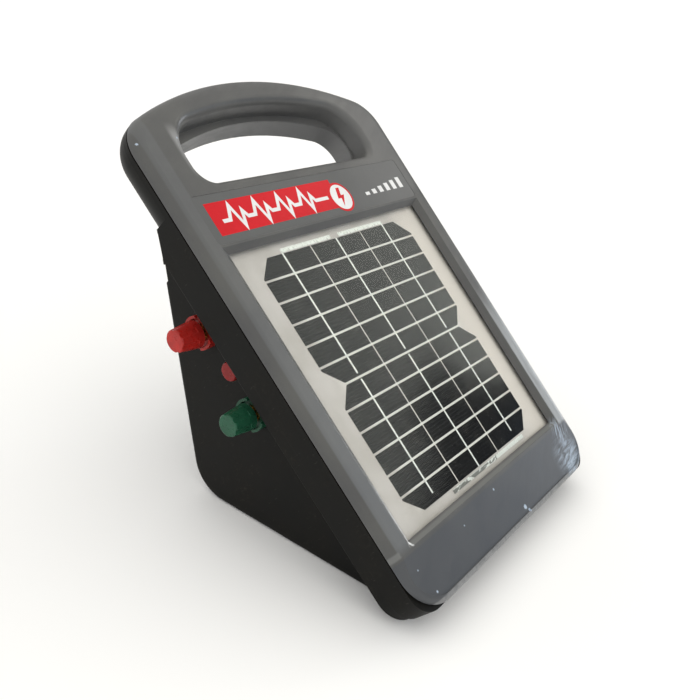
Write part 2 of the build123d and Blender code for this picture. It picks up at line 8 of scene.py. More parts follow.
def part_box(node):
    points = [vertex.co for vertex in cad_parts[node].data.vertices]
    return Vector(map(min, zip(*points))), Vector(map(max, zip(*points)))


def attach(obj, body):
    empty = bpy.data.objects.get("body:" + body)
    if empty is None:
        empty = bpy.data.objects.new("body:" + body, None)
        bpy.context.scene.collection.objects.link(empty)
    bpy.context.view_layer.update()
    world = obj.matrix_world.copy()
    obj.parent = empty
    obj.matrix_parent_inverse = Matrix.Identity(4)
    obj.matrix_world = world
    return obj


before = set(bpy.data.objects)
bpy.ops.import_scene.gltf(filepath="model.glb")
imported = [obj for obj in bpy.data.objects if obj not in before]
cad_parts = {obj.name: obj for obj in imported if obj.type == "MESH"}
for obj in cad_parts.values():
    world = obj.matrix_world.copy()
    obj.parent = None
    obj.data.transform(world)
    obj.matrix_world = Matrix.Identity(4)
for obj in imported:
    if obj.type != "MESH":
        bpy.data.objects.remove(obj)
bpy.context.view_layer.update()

# The panel frame: u across, v up the slope, w out of the panel, in millimetres.
MM = 0.001
PANEL_TILT = radians(39.0)
CELL_SINK = 1.4            # the wafers' middle lies this far below the panel frame's origin
CELL_PITCH = (53.2, 14.7)  # one wafer and one gap, across and up the slope
LABEL_TOP = 4.85           # printed face of the label film

tilt = Matrix.Rotation(PANEL_TILT, 4, "X")
cells_low, cells_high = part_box("solar_cells")
panel_origin = (cells_low + cells_high) / 2 + tilt @ Vector((0, 0, CELL_SINK * MM))
PANEL = Matrix.Translation(panel_origin) @ tilt @ Matrix.Scale(MM, 4)


def srgb(*levels):
    """Linear colour with alpha from red, green and blue levels of 0 to 255."""
    parts = [level / 255 for level in levels]
    return tuple(p / 12.92 if p < 0.04045 else ((p + 0.055) / 1.055) ** 2.4 for p in parts) + (1.0,)


def grey(level):
    return srgb(level, level, level)


def shaded(colour, gain, lift=0.0):
    """The colour with its channels multiplied by a gain, raised by a lift and kept below 1."""
    return [min(1, c * gain + lift) for c in colour[:3]] + [1]


def stand(name, data):
    """Adds an object to the scene."""
    thing = bpy.data.objects.new(name, data)
    bpy.context.scene.collection.objects.link(thing)
    return thing


# ---------------------------------------------------------------- node materials
class Look:
    """A material under construction: each method adds nodes and returns an output socket."""

    def __init__(self, name, **constants):
        self.material = bpy.data.materials.new(name)
        self.material.use_nodes = True
        self.tree = self.material.node_tree
        self.shader = self.tree.nodes["Principled BSDF"]
        for socket, value in constants.items():
            self.shader.inputs[socket.replace("_", " ")].default_value = value
        self.where = self.node("Mapping", {
            "Vector": self.node("TexCoord", {}, "Object"),
            "Location": panel_origin,
            "Rotation": (PANEL_TILT, 0, 0),
            "Scale": (MM, MM, MM)}, "Vector", vector_type="TEXTURE")

    def node(self, kind, inputs, output, **settings):
        """Adds a node, plugs numbers or sockets into its inputs, and returns one of its outputs."""
        made = self.tree.nodes.new("ShaderNode" + kind)
        for name, value in settings.items():
            setattr(made, name, value)
        for key, value in inputs.items():
            self.plug(made.inputs[key], value)
        return made.outputs[output]

    def plug(self, socket, value):
        """Links a socket to another one, or gives it a plain value."""
        if isinstance(value, bpy.types.NodeSocket):
            self.tree.links.new(value, socket)
        else:
            socket.default_value = value

    def set(self, **inputs):
        """Plugs numbers or sockets into the shader, with _ for a space in an input's name."""
        for socket, value in inputs.items():
            self.plug(self.shader.inputs[socket.replace("_", " ")], value)

    def place(self, stretch, turn=0.0):
        """Panel millimetres turned about w by an angle in radians, then divided by a stretch."""
        return self.node("Mapping", {"Vector": self.where, "Rotation": (0, 0, turn), "Scale": stretch},
                         "Vector", vector_type="TEXTURE")

    def noise(self, size, detail=3.0, rough=0.5, at=None, distortion=0.0):
        """Smooth noise whose blobs are about the given size in millimetres."""
        return self.node("TexNoise", {"Vector": at or self.where, "Scale": 1 / size, "Detail": detail,
                                      "Roughness": rough, "Distortion": distortion}, "Fac")

    def cells(self, size, feature="F1"):
        """Rounded cells about the given size in millimetres."""
        return self.node("TexVoronoi", {"Vector": self.where, "Scale": 1 / size}, "Distance",
                         feature=feature)

    def bands(self, size, axis, profile="SIN"):
        """Straight bands that repeat every so many millimetres along an axis."""
        return self.node("TexWave", {"Vector": self.where, "Scale": pi / (10 * size)}, "Fac",
                         bands_direction=axis, wave_profile=profile)

    def part(self, axis):
        """Panel millimetres along X (u), Y (v) or Z (w)."""
        return self.node("SeparateXYZ", {"Vector": self.where}, axis)

    def step(self, value, low, high, start=0.0, end=1.0):
        """Smooth step from start to end as value goes from low to high."""
        return self.node("MapRange", {"Value": value, "From Min": low, "From Max": high,
                                      "To Min": start, "To Max": end},
                         "Result", interpolation_type="SMOOTHSTEP")

    def sums(self, operation, a, b=0.0):
        return self.node("Math", {0: a, 1: b}, "Value", operation=operation)

    def times(self, a, b):
        return self.sums("MULTIPLY", a, b)

    def most(self, values):
        """The largest of the values."""
        top = values[0]
        for value in values[1:]:
            top = self.sums("MAXIMUM", top, value)
        return top

    def off(self, value, middle):
        """How far a value is from a middle, to either side."""
        return self.sums("ABSOLUTE", self.sums("SUBTRACT", value, middle))

    def zone(self, *limits):
        """Product of smooth steps: each limit is a value, where its step begins, and where it is full."""
        inside = self.step(*limits[0])
        for limit in limits[1:]:
            inside = self.times(inside, self.step(*limit))
        return inside

    def blend(self, factor, a, b):
        """Colour a, going over to colour b with the factor."""
        return self.node("Mix", {0: factor, 6: a, 7: b}, 2, data_type="RGBA")

    def coat(self, base, layers):
        """The base colour under layers of paler or darker colour, each with a mask and a strength."""
        for mask, strength, colour in layers:
            base = self.blend(self.times(mask, strength), base, colour)
        return base

    def spot(self, u, v, radius, fade, ragged=0.0):
        """1 within a radius of a place on the panel, falling to 0 over the fade, in millimetres."""
        flat = self.node("VectorMath", {0: self.where, 1: (1, 1, 0)}, "Vector", operation="MULTIPLY")
        far = self.node("VectorMath", {0: flat, 1: (u, v, 0)}, "Value", operation="DISTANCE")
        if ragged:
            far = self.sums("ADD", far, self.times(self.noise(radius / 2, 4), ragged))
        return self.step(far, radius + fade, radius)

    def edges(self, radius, start=0.9, end=0.6):
        """1 along sharp edges: the shading normal of a rounded edge leaves the face's own normal."""
        rounded = self.node("Bevel", {"Radius": radius * MM}, "Normal", samples=4)
        own = self.node("NewGeometry", {}, "Normal")
        agree = self.node("VectorMath", {0: rounded, 1: own}, "Value", operation="DOT_PRODUCT")
        return self.step(agree, start, end)

    def bump(self, height, distance):
        """Relief of the given height in millimetres."""
        return self.node("Bump", {"Height": height, "Distance": distance * MM}, "Normal")


def moulded(name, colour, rough, grain, depth, vary):
    """Moulded plastic: fine eroded grain over faint flow clouds."""
    look = Look(name)
    clouds = look.noise(38, 4, 0.6)
    fine = look.noise(grain, 2, 0.6)
    dark = shaded(colour, 1 - vary)
    base = look.blend(look.step(clouds, 0.3, 0.7), dark, shaded(colour, 1 + vary))
    base = look.blend(look.step(fine, 0.35, 0.75, 0, 0.35), base, dark)
    look.set(Base_Color=base,
             Roughness=look.step(look.noise(9, 5, 0.65), 0.3, 0.7, rough - 0.06, rough + 0.08),
             Normal=look.bump(fine, depth))
    return look


# Nicks in the grey cover: their middle in panel millimetres, and their radius.
NICKS = (
    (13, -127, 1.8), (15.5, -130.5, 1.4), (-8, -104, 0.9),          # on the chin
    (-99.9, -126.4, 0.9), (-51.2, -108.8, 0.6), (-105, -110, 0.6),
    (-61, 92, 0.7),                                                 # at the top of the window
    (-84.5, 168.5, 0.8), (-113.5, 167.9, 0.9))                      # on the handle
SCUFF = (93, -124, 4, 22, 3)       # rubbed right corner of the chin: middle, radius, fade, raggedness
TRAIL = (98, -105, 4, 11)          # scratches that run up from it: middle, radius and fade


def cover_marks(look):
    """Scuffs, scratches and nicks, each falling on the cover's own noise."""
    streaks = look.noise(2.4, 5, 0.7, look.place(turn=radians(12), stretch=(6, 1.3, 1)), 0.5)
    scuffed = look.times(look.spot(*SCUFF), look.step(streaks, 0.36, 0.66))
    scratches = look.noise(1.6, 4, 0.7, look.place(turn=radians(62), stretch=(9, 1, 1)), 0.4)
    trail = look.times(look.spot(*TRAIL), look.step(scratches, 0.5, 0.6))
    nicks = [look.spot(u, v, radius, 0.8, 1.2) for u, v, radius in NICKS]
    return look.most([scuffed, look.times(trail, 0.7)] + nicks)


def cover_zones(look, clouds):
    """Paler places on the cover, as layers for Look.coat: mask, strength and colour.

    They are set to match the photograph's brightness. Most are painted light: the chin's cool tint and the
    pale right rail are painted reflections; the paler left rail, the right of the hand hole's foot and the
    hole's bore are painted light; the chin's lip, the end of the grip and the glint on the left bevel are
    painted highlights. The strip along the window's foot is paler, and the rubbed edges are wear."""
    u, v, w = look.part("X"), look.part("Y"), look.part("Z")
    along = look.noise(3.0, 5, 0.7, look.place(stretch=(1, 9, 1)))
    # Painted reflection: the chin tinted darker and cooler.
    chin = look.zone((v, -99.5, -101.0))
    # Painted reflection: the right rail pale and cool in streaks, in its lower part.
    right_rail = look.zone((u, 101, 103), (v, 24, -20), (v, -101, -98), (along, 0.2, 0.7, 0.5, 1.0))
    # Painted light: the left rail paler, most of all low down.
    left_rail = look.zone((u, -100, -102), (u, -112.5, -111), (v, 90, -60, 0.4, 1.0), (v, -100, -92))
    # Painted light: paler to the right of the hand hole's foot.
    painted_light_by_handle = look.zone((u, 20, 95), (v, 98, 112))                  # right of the hand hole's foot
    window_ledge = look.zone((v, -94.5, -96), (v, -99.5, -98), (w, 5.0, 4.6))
    # Painted highlight along the chin's lip.
    chin_lip = look.zone((v, -130.5, -131.5), (along, 0.3, 0.65, 0.25, 0.55))
    # Painted light: the hole's bore paler towards its back.
    hole_bore = look.zone((v, 136, 140), (w, -10.4, -11.2))
    # Painted highlight: the glow at the hand hole's left end.
    grip_end = look.zone((look.off(u, -85), 5.0, 1.0), (v, 140, 156), (v, 180, 168))
    # Painted highlight: the glint along the left bevel's foot.
    bevel_glint = look.zone((look.off(u, -97.9), 1.1, 0.5), (v, -40, -82), (v, -98.5, -97),
                            (look.noise(2.2, 3, 0.6), 0.3, 0.55, 0.3, 1.0))
    rubbed = look.times(look.edges(0.45), look.step(clouds, 0.4, 0.62, 0.15, 0.6))
    return (
        (rubbed, 1.0, grey(150)),
        (chin, 0.55, srgb(66, 70, 77)),
        (right_rail, 0.62, srgb(176, 181, 184)),
        (left_rail, 0.3, srgb(128, 133, 138)),
        (painted_light_by_handle, 0.3, grey(122)),
        (window_ledge, 0.35, srgb(140, 142, 140)),
        (chin_lip, 1.0, grey(158)),
        (hole_bore, 0.5, grey(128)),
        (grip_end, 0.6, grey(165)),
        (bevel_glint, 0.85, srgb(244, 246, 248)))


def cover_plastic():
    """Grey cover: moulded grain, painted reflections, light and highlights, scuffs and nicks, rubbed
    edges.
    """
    look = Look("grey_cover", Specular_IOR_Level=0.36)
    clouds = look.noise(46, 4, 0.55)
    grain = look.noise(0.4, 2, 0.6)
    smears = look.noise(5.5, 5, 0.7, look.place(turn=radians(32), stretch=(7, 1.2, 1)), 0.4)
    marks = cover_marks(look)
    base = look.blend(look.step(clouds, 0.3, 0.7), grey(76), srgb(85, 85, 83))
    base = look.blend(look.step(look.noise(0.9, 4, 0.7), 0.56, 0.72, 0, 0.3), base, grey(62))
    # Painted reflections, painted light and painted highlights laid over the grey.
    base = look.coat(base, cover_zones(look, clouds))
    # Real scuffs and nicks; their cool blue tint is a painted reflection.
    base = look.coat(base, [(marks, 0.9, srgb(178, 193, 210))])
    rough = look.sums("ADD", look.step(smears, 0.35, 0.68, 0.34, 0.46), look.times(marks, 0.25))
    look.set(Base_Color=base, Roughness=rough,
             Normal=look.bump(look.sums("SUBTRACT", grain, look.times(marks, 3)), 0.012))
    return look


RIM_HIGHLIGHT_BELOW = (-19, -21)          # the painted highlight on the rim's back edge shows only on edges that lie below this level in w


def housing_plastic():
    """Black rear housing: coarser grain, a film of dust, scratches, edges rubbed paler, a painted
    highlight along the rim's back edge.
    """
    look = Look("black_housing", Specular_IOR_Level=0.14)
    clouds = look.noise(30, 5, 0.65)
    grain = look.noise(0.6, 3, 0.65)
    base = look.blend(look.step(clouds, 0.3, 0.7), srgb(11, 11, 9), srgb(19, 18, 15))
    dust = look.zone((look.noise(2.5, 6, 0.75), 0.52, 0.8), (clouds, 0.42, 0.7))
    lines = look.noise(1.4, 3, 0.6, look.place(turn=radians(20), stretch=(24, 1, 5)))
    scratches = look.step(lines, 0.66, 0.74)
    rubbed = look.times(look.edges(0.5), look.step(clouds, 0.35, 0.6, 0.2, 0.7))
    # Painted highlight: a pale line along the rim's back edge.
    rim_highlight = look.zone((look.part("Z"), *RIM_HIGHLIGHT_BELOW), (clouds, 0.3, 0.6, 0.6, 1.0))
    rim_highlight = look.times(look.edges(0.7, 0.97, 0.8), rim_highlight)
    base = look.coat(base, [
        (dust, 0.3, srgb(80, 75, 64)), (scratches, 0.3, srgb(74, 72, 66)),
        (rubbed, 1.0, srgb(66, 64, 58)), (rim_highlight, 1.0, srgb(104, 101, 92))])
    look.set(Base_Color=base, Roughness=look.step(clouds, 0.3, 0.7, 0.46, 0.58),
             Normal=look.bump(grain, 0.03))
    return look


def rubber(name, colour):
    """Matt rubber with a pale bloom in patches."""
    look = Look(name, Roughness=0.85, Specular_IOR_Level=0.3)
    fine = look.noise(0.5, 4, 0.7)
    bloom = look.step(look.noise(14, 4, 0.6), 0.45, 0.75, 0, 0.3)
    look.set(Base_Color=look.blend(bloom, colour, grey(62)), Normal=look.bump(fine, 0.03))
    return look


def plated(name, colour, dull, rough):
    """Plated metal: tarnish in clouds, fine tool marks."""
    look = Look(name, Metallic=1.0)
    clouds = look.noise(3.5, 4, 0.65)
    marks = look.noise(0.25, 3, 0.6, look.place(stretch=(6, 1, 1)))
    look.set(Base_Color=look.blend(look.step(clouds, 0.4, 0.68), colour, dull),
             Roughness=look.step(look.noise(1.2, 4, 0.7), 0.3, 0.7, rough - 0.1, rough + 0.14),
             Normal=look.bump(marks, 0.01))
    return look


def brass():
    """Turned brass: fine tool rings along the stud, patches of brown tarnish."""
    look = plated("turned_brass", srgb(205, 170, 100), srgb(140, 104, 58), 0.26)
    rings = look.bands(0.16, "X")
    look.set(Normal=look.bump(rings, 0.012))
    return look


def glass():
    """Tempered cover glass: clear, mirrored by Fresnel, with a faint film of dust."""
    look = Look("cover_glass", Base_Color=grey(20), Roughness=0.05, Specular_IOR_Level=0.5)
    film = look.step(look.noise(16, 6, 0.7), 0.45, 0.75, 0.0, 0.035)
    specks = look.step(look.noise(0.9, 3, 0.6), 0.74, 0.8, 0.0, 0.04)
    dirt = look.sums("ADD", film, specks)
    look.set(Base_Color=look.blend(look.step(dirt, 0.0, 0.05), grey(20), srgb(160, 158, 148)),
             Roughness=look.step(look.noise(24, 4, 0.6), 0.35, 0.7, 0.03, 0.09))
    front = look.sums("SUBTRACT", 1.0, look.node("NewGeometry", {}, "Backfacing"))
    seen = look.node("Fresnel", {"IOR": 1.5}, "Fac")
    seen = look.times(look.sums("ADD", seen, dirt), front)
    clear = look.node("BsdfTransparent", {"Color": (0.97, 0.985, 0.98, 1)}, "BSDF")
    pane = look.node("MixShader", {0: seen, 1: clear, 2: look.shader.outputs["BSDF"]}, "Shader")
    look.plug(look.tree.nodes["Material Output"].inputs["Surface"], pane)
    return look


def silicon():
    """Wafers: blue-black coating, a shade of its own on each, printed silver fingers across."""
    look = Look("silicon_wafer", Roughness=0.12, Specular_IOR_Level=0.35)
    grid = look.place(stretch=(*CELL_PITCH, 1000))
    # Half a pitch aside, because the middle column stands across u = 0.
    grid = look.node("VectorMath", {0: grid, 1: (0.5, 0, 0)}, "Vector", operation="ADD")
    wafer = look.node("TexWhiteNoise", {"Vector": grid}, "Value")
    shade = look.times(look.sums("SUBTRACT", wafer, 0.5), 0.25)
    shade = look.step(look.sums("ADD", look.noise(60, 2, 0.5), shade), 0.3, 0.7)
    base = look.blend(shade, srgb(21, 20, 22), srgb(31, 30, 31))
    fingers = look.step(look.bands(2.4, "Y"), 0.5, 0.95, 0.0, 0.2)
    look.set(Base_Color=look.coat(base, [
        (look.step(look.noise(3.0, 3, 0.6), 0.4, 0.7), 0.12, srgb(40, 40, 43)),
        (fingers, 1.0, grey(60))]))
    return look


COLLECTOR_TOP = (-88.5, -89.5)     # v where the lower collector strip begins
COLLECTOR_WHOLE = (40.5, 42)       # u from which that strip shows unbroken


def ribbon():
    """Tinned strips: bright solder; the lower collector's shine is painted as matt white, broken up by
    darker gaps.
    """
    look = Look("tinned_ribbon", Specular_IOR_Level=0.6)
    u, v = look.part("X"), look.part("Y")
    solder = look.noise(1.2, 4, 0.7, look.place(stretch=(1, 3, 1)))
    bright = look.blend(look.step(solder, 0.35, 0.7), srgb(232, 232, 226), srgb(255, 255, 250))
    low = look.step(v, *COLLECTOR_TOP)
    chips = look.noise(3.2, 3, 0.65, look.place(turn=radians(14), stretch=(2.4, 1, 1)), 0.5)
    chips = look.sums("ADD", chips, look.step(u, -40, 66, 0.0, 0.2))
    whole = look.step(u, *COLLECTOR_WHOLE)
    # The lower collector's shine is painted: near-white and not metal, with darker gaps.
    glint_gaps = look.times(look.times(low, look.step(chips, 0.6, 0.56)), look.sums("SUBTRACT", 1.0, whole))
    look.set(Base_Color=look.blend(glint_gaps, bright, srgb(122, 120, 114)),
             Metallic=look.times(look.sums("SUBTRACT", 1.0, low), 0.35),
             Roughness=look.step(solder, 0.3, 0.7, 0.22, 0.5), Normal=look.bump(solder, 0.05))
    return look


def backsheet():
    """White film behind the wafers: fine weave, with painted light making it whiter to the right and
    between the wafers.
    """
    look = Look("backsheet_film", Roughness=0.6, Specular_IOR_Level=0.35)
    u, v = look.part("X"), look.part("Y")
    clouds = look.noise(34, 5, 0.6)
    weave = look.times(look.bands(0.5, "X"), look.bands(0.5, "Y"))
    base = look.blend(look.step(clouds, 0.3, 0.7), srgb(206, 197, 191), srgb(221, 212, 208))
    between = look.zone((look.off(u, 0), 76, 62), (look.off(v, 0), 87, 85))
    base = look.coat(base, [
        # Painted light: whiter towards the right, and between the wafers.
        (look.step(u, 55, 84), 0.85, srgb(244, 232, 224)),
        (between, 1.0, srgb(246, 240, 234)),
        (weave, 0.06, srgb(190, 186, 172))])
    look.set(Base_Color=base, Normal=look.bump(weave, 0.01))
    return look


def print_film(name, colour, rough=0.34, gloss=0.36):
    """Printed vinyl: faint orange peel, small scuffs that let the pale film through."""
    look = Look(name, Specular_IOR_Level=gloss, Roughness=rough)
    clouds = look.noise(20, 4, 0.6)
    base = look.blend(look.step(clouds, 0.3, 0.7), shaded(colour, 0.9), colour)
    rubs = look.noise(0.8, 4, 0.7, look.place(turn=radians(12), stretch=(8, 1, 1)))
    rubs = look.step(rubs, 0.7, 0.78, 0, 0.35)
    look.set(Base_Color=look.blend(rubs, base, shaded(colour, 1.25, 0.03)),
             Normal=look.bump(look.noise(1.6, 3, 0.5), 0.01))
    return look


def label_base():
    """Grey ground of the label, with painted light making it paler towards the right to match the
    photograph.
    """
    look = print_film("label_base", srgb(84, 85, 85), 0.4)
    plain_ground = look.shader.inputs["Base Color"].links[0].from_socket
    # Painted light: paler towards the right.
    look.set(Base_Color=look.blend(look.step(look.part("X"), 20, 95, 0.0, 0.3), plain_ground, grey(122)))
    return look


def glossy_plastic(name, colour, worn):
    """Terminal plastic: smooth and coloured through, paler on its edges, dirt in specks."""
    look = Look(name, Specular_IOR_Level=0.3)
    clouds = look.noise(7, 4, 0.6)
    base = look.blend(look.step(clouds, 0.3, 0.72), shaded(colour, 0.72), colour)
    rubbed = look.times(look.edges(0.35, 0.93, 0.7), look.step(clouds, 0.3, 0.6, 0.3, 0.8))
    base = look.blend(rubbed, base, worn)
    dirt = look.step(look.noise(1.6, 5, 0.7), 0.6, 0.78, 0, 0.4)
    look.set(Base_Color=look.blend(dirt, base, shaded(colour, 0.45)),
             Roughness=look.step(look.noise(3, 4, 0.6), 0.3, 0.7, 0.22, 0.45),
             Normal=look.bump(look.noise(0.5, 3, 0.6), 0.02))
    return look


def laminate():
    """Circuit board: green mask over copper traces, tinned pads."""
    look = Look("board_laminate", Roughness=0.35)
    traces = look.step(look.cells(5.5, "DISTANCE_TO_EDGE"), 0.07, 0.05)
    pads = look.step(look.cells(6.5), 0.17, 0.14)
    base = look.blend(look.times(traces, 0.6), srgb(28, 84, 48), srgb(72, 132, 72))
    base = look.blend(pads, base, srgb(206, 200, 184))
    look.set(Base_Color=base, Metallic=look.times(pads, 0.7), Normal=look.bump(traces, 0.03))
    return look


def insulation(name, colour):
    """Wire insulation: satin, a little uneven in colour, finely pebbled."""
    look = Look(name, Specular_IOR_Level=0.45)
    clouds = look.noise(6, 3, 0.6)
    look.set(Base_Color=look.blend(look.step(clouds, 0.35, 0.7), colour, shaded(colour, 0.75)),
             Roughness=look.step(clouds, 0.3, 0.7, 0.35, 0.5),
             Normal=look.bump(look.noise(0.5, 3, 0.6), 0.02))
    return look


def foam():
    """Dark closed-cell foam: cut bubbles about a millimetre wide."""
    look = Look("closed_cell_foam", Roughness=0.9)
    bubbles = look.cells(1.1)
    base = look.blend(look.step(bubbles, 0.2, 0.75), grey(44), grey(84))
    look.set(Base_Color=base, Normal=look.bump(bubbles, 0.25))
    return look


def winding():
    """Amber tape in overlapping turns over the copper."""
    look = Look("winding_tape", Roughness=0.35)
    turns = look.bands(3.2, "Y", profile="SAW")
    base = look.blend(look.step(turns, 0.05, 0.2), srgb(120, 72, 22), srgb(204, 152, 44))
    base = look.blend(look.step(look.noise(2, 4, 0.6), 0.45, 0.7, 0, 0.4), base, srgb(168, 104, 34))
    look.set(Base_Color=base, Normal=look.bump(turns, 0.15))
    return look


def laminations():
    """Stacked steel sheets: fine dark joints and bright cut edges."""
    look = Look("core_laminations", Metallic=0.8)
    sheets = look.bands(0.5, "X", profile="SAW")
    rust = look.step(look.noise(4, 5, 0.7), 0.55, 0.72, 0, 0.6)
    base = look.blend(look.step(sheets, 0.1, 0.3), grey(44), srgb(112, 114, 118))
    look.set(Base_Color=look.blend(rust, base, srgb(96, 66, 44)),
             Roughness=look.step(rust, 0, 0.6, 0.4, 0.8), Normal=look.bump(sheets, 0.04))
    return look


def sleeve():
    """Blue shrink sleeve, slightly wrinkled, with a pale stripe along its middle."""
    look = Look("capacitor_sleeve", Roughness=0.3, Coat_Weight=0.3)
    wrinkles = look.noise(1.5, 4, 0.6, look.place(stretch=(1, 4, 1)))
    low, high = (PANEL.inverted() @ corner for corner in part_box("storage_capacitor"))
    stripe = look.step(look.off(look.part("Z"), (low.z + high.z) / 2), 3, 2.6)
    base = look.blend(stripe, srgb(24, 46, 104), srgb(176, 184, 196))
    look.set(Base_Color=look.blend(look.step(wrinkles, 0.55, 0.7, 0, 0.3), base, srgb(14, 28, 70)),
             Normal=look.bump(wrinkles, 0.05))
    return look


def dress():
    """Gives every carried-over CAD node its material."""
    grey_cover, black_housing = cover_plastic(), housing_plastic()
    seal, gasket = rubber("seal_rubber", grey(22)), rubber("gasket_foam_rubber", grey(34))
    zinc = plated("zinc_plate", srgb(186, 186, 182), srgb(140, 136, 122), 0.34)
    tin = plated("tin_plate", srgb(190, 188, 180), srgb(128, 124, 114), 0.38)
    nylon = moulded("black_nylon", grey(26), 0.5, 0.8, 0.02, 0.2)
    board = laminate()
    red = glossy_plastic("red_terminal", srgb(178, 40, 34), srgb(204, 96, 86))
    green = glossy_plastic("green_terminal", srgb(34, 86, 62), srgb(92, 142, 120))
    turned = brass()
    looks = {
        "front_cover": grey_cover, "rear_housing": black_housing,
        "cover_seal": seal, "panel_gasket": gasket,
        "housing_screws": zinc, "clip_screws": zinc, "board_screws": zinc,
        "panel_glass": glass(), "solar_cells": silicon(), "cell_ribbons": ribbon(),
        "panel_backsheet": backsheet(), "panel_board": board, "circuit_board": board,
        "panel_clips": nylon, "junction_box": nylon, "switch_body": nylon, "tab_boots": nylon,
        "divider_plate": moulded("divider_plastic", grey(40), 0.55, 0.7, 0.02, 0.15),
        "label_film": label_base(),
        # The button's own red, darkened as painted shade from the rim around it.
        "power_button": glossy_plastic("button_plastic_painted_shade", srgb(138, 22, 22), srgb(196, 66, 66)),
        "transformer_core": laminations(), "transformer_winding": winding(), "storage_capacitor": sleeve(),
        "board_components": moulded("black_epoxy", grey(28), 0.4, 0.6, 0.01, 0.3),
        "board_connectors": moulded("connector_green", srgb(30, 122, 66), 0.35, 0.6, 0.01, 0.15),
        "fence_lead": insulation("red_insulation", srgb(176, 26, 28)),
        "battery_lead_red": insulation("red_insulation_thin", srgb(168, 24, 26)),
        "earth_lead": insulation("green_insulation", srgb(28, 108, 66)),
        "battery_lead_black": insulation("black_insulation", grey(26)),
        "panel_lead": insulation("black_insulation_round", grey(32)),
        "battery": moulded("battery_case", srgb(58, 60, 64), 0.5, 0.9, 0.03, 0.15),
        "battery_tabs": tin, "battery_pad": foam(), "battery_foam": foam(),
    }
    for side, plastic in (("fence", red), ("earth", green)):
        for piece in ("base", "knob"):
            looks[f"{side}_terminal_{piece}"] = plastic
        for piece in ("stud", "washer", "nut"):
            looks[f"{side}_terminal_{piece}"] = turned
        looks[f"{side}_terminal_lug"] = tin
    for node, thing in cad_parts.items():
        thing.data.materials.clear()
        thing.data.materials.append(looks[node].material)


# ---------------------------------------------------------------- printed marks on the label
INK = 0.05                 # thickness of the printed layers
MITRE = 0.35               # least cosine of the half angle that a mitre in a printed line follows


def ink(name, outlines, level, look):
    """Flat printed shapes on the label: outlines in panel millimetres, raised by one ink layer."""
    bm = bmesh.new()
    for outline in outlines:
        rings = []
        for w in (LABEL_TOP + level * INK - INK / 2, LABEL_TOP + (level + 1) * INK):
            rings.append([bm.verts.new(PANEL @ Vector((u, v, w))) for u, v in outline])
        low, high = rings
        bm.faces.new(high)
        bm.faces.new(low[::-1])
        for i, corner in enumerate(low):
            after = (i + 1) % len(low)
            bm.faces.new((corner, low[after], high[after], high[i]))
    bmesh.ops.recalc_face_normals(bm, faces=bm.faces)
    mesh = bpy.data.meshes.new(name)
    bm.to_mesh(mesh)
    bm.free()
    mesh.materials.append(look.material)
    thing = stand(name, mesh)
    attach(thing, "root")


def disc(u, v, radius, steps=48):
    turns = [2 * pi * i / steps for i in range(steps)]
    return [(u + radius * cos(turn), v + radius * sin(turn)) for turn in turns]


def bar(u, v, width, height):
    return [(u, v), (u + width, v), (u + width, v + height), (u, v + height)]


def stroke(points, width):
    """Outline of a line of even width through the points, its sharpest mitres held back."""
    path = [Vector(p) for p in points]
    sides = []
    for i, here in enumerate(path):
        before = (here - path[i - 1] if i else path[1] - here).normalized()
        after = (path[i + 1] - here).normalized() if i + 1 < len(path) else before
        across = (before.orthogonal() + after.orthogonal()).normalized()
        reach = width / 2 / max(MITRE, across.dot(after.orthogonal()))
        sides.append((here + across * reach, here - across * reach))
    return [a for a, b in sides] + [b for a, b in reversed(sides)]


# All of these are in panel millimetres.
STRIP = (-96.0, 104.5, 114.0, 21.0)     # printed strip: left, foot, width and height
PULSE_LEVEL = -2.0                      # pulse line at rest, from the middle of the strip
PULSE_START = 7.0                       # start of the pulse line, from the strip's left
BEATS = (13.0, 21.0, 4)                 # beats: first, from the strip's left, distance apart, number
BEAT = ((0, -2), (4.5, 7), (9, -7.5), (12.5, 2.5), (15, -2))    # one beat: across, and up from the middle
SIGN = (21.0, 111.5, 11.0)              # round sign: middle and radius
SIGN_RIM = 1.6                          # width of its rim
BOLT = ((-0.7, 6.9), (-3.8, -0.8), (-0.4, -0.8), (-1.9, -6.9), (3.8, 1.3), (0.5, 1.3), (2.6, 6.9))
SCALE = (48.0, 108.5, 8.4, 6)           # level scale: left, foot, distance between bars, number
SCALE_BAR = (4.6, 2.4, 1.2)             # its bars: width, height of the first, and growth


def label_marks():
    """Plain marks in place of print: a strip with a pulse line, a round bolt sign, a level scale."""
    red = print_film("red_print", srgb(208, 18, 32), 0.3, 0.12)
    white = print_film("white_print", srgb(232, 232, 232))
    left, foot, _, height = STRIP
    u, v, radius = SIGN
    ink("label_strip", [bar(*STRIP)], 0, red)

    middle = foot + height / 2
    first, apart, count = BEATS
    pulse = [(left + PULSE_START, middle + PULSE_LEVEL)]
    for i in range(count):
        pulse += [(left + first + i * apart + x, middle + y) for x, y in BEAT]
    pulse.append((u - radius - 2, middle + PULSE_LEVEL))
    ink("label_pulse", [stroke(pulse, 2.4)], 1, white)

    ink("sign_rim", [disc(u, v, radius)], 1, red)
    ink("sign_face", [disc(u, v, radius - SIGN_RIM)], 2, white)
    ink("sign_bolt", [[(u + x, v + y) for x, y in BOLT]], 3, red)

    start, level, apart, count = SCALE
    wide, tall, growth = SCALE_BAR
    bars = [bar(start + i * apart, level, wide, tall + i * growth) for i in range(count)]
    ink("level_scale", bars, 0, white)


# ---------------------------------------------------------------- floor, light and camera
FLOOR_HALF = 60.0          # half the floor's side, in metres
SKY_LOW = 29.2             # height in degrees at which the bright upper light begins
SKY_FADE = 0.022           # half the width of its edge, as a sine of height
# Places where the upper light reaches lower: heading, height, inner and outer reach in degrees, and how
# far, as a sine of height.
SAGS = ((107.5, 23.5, 4, 6.8, 0.12), (124, 28, 3, 6, 0.035))
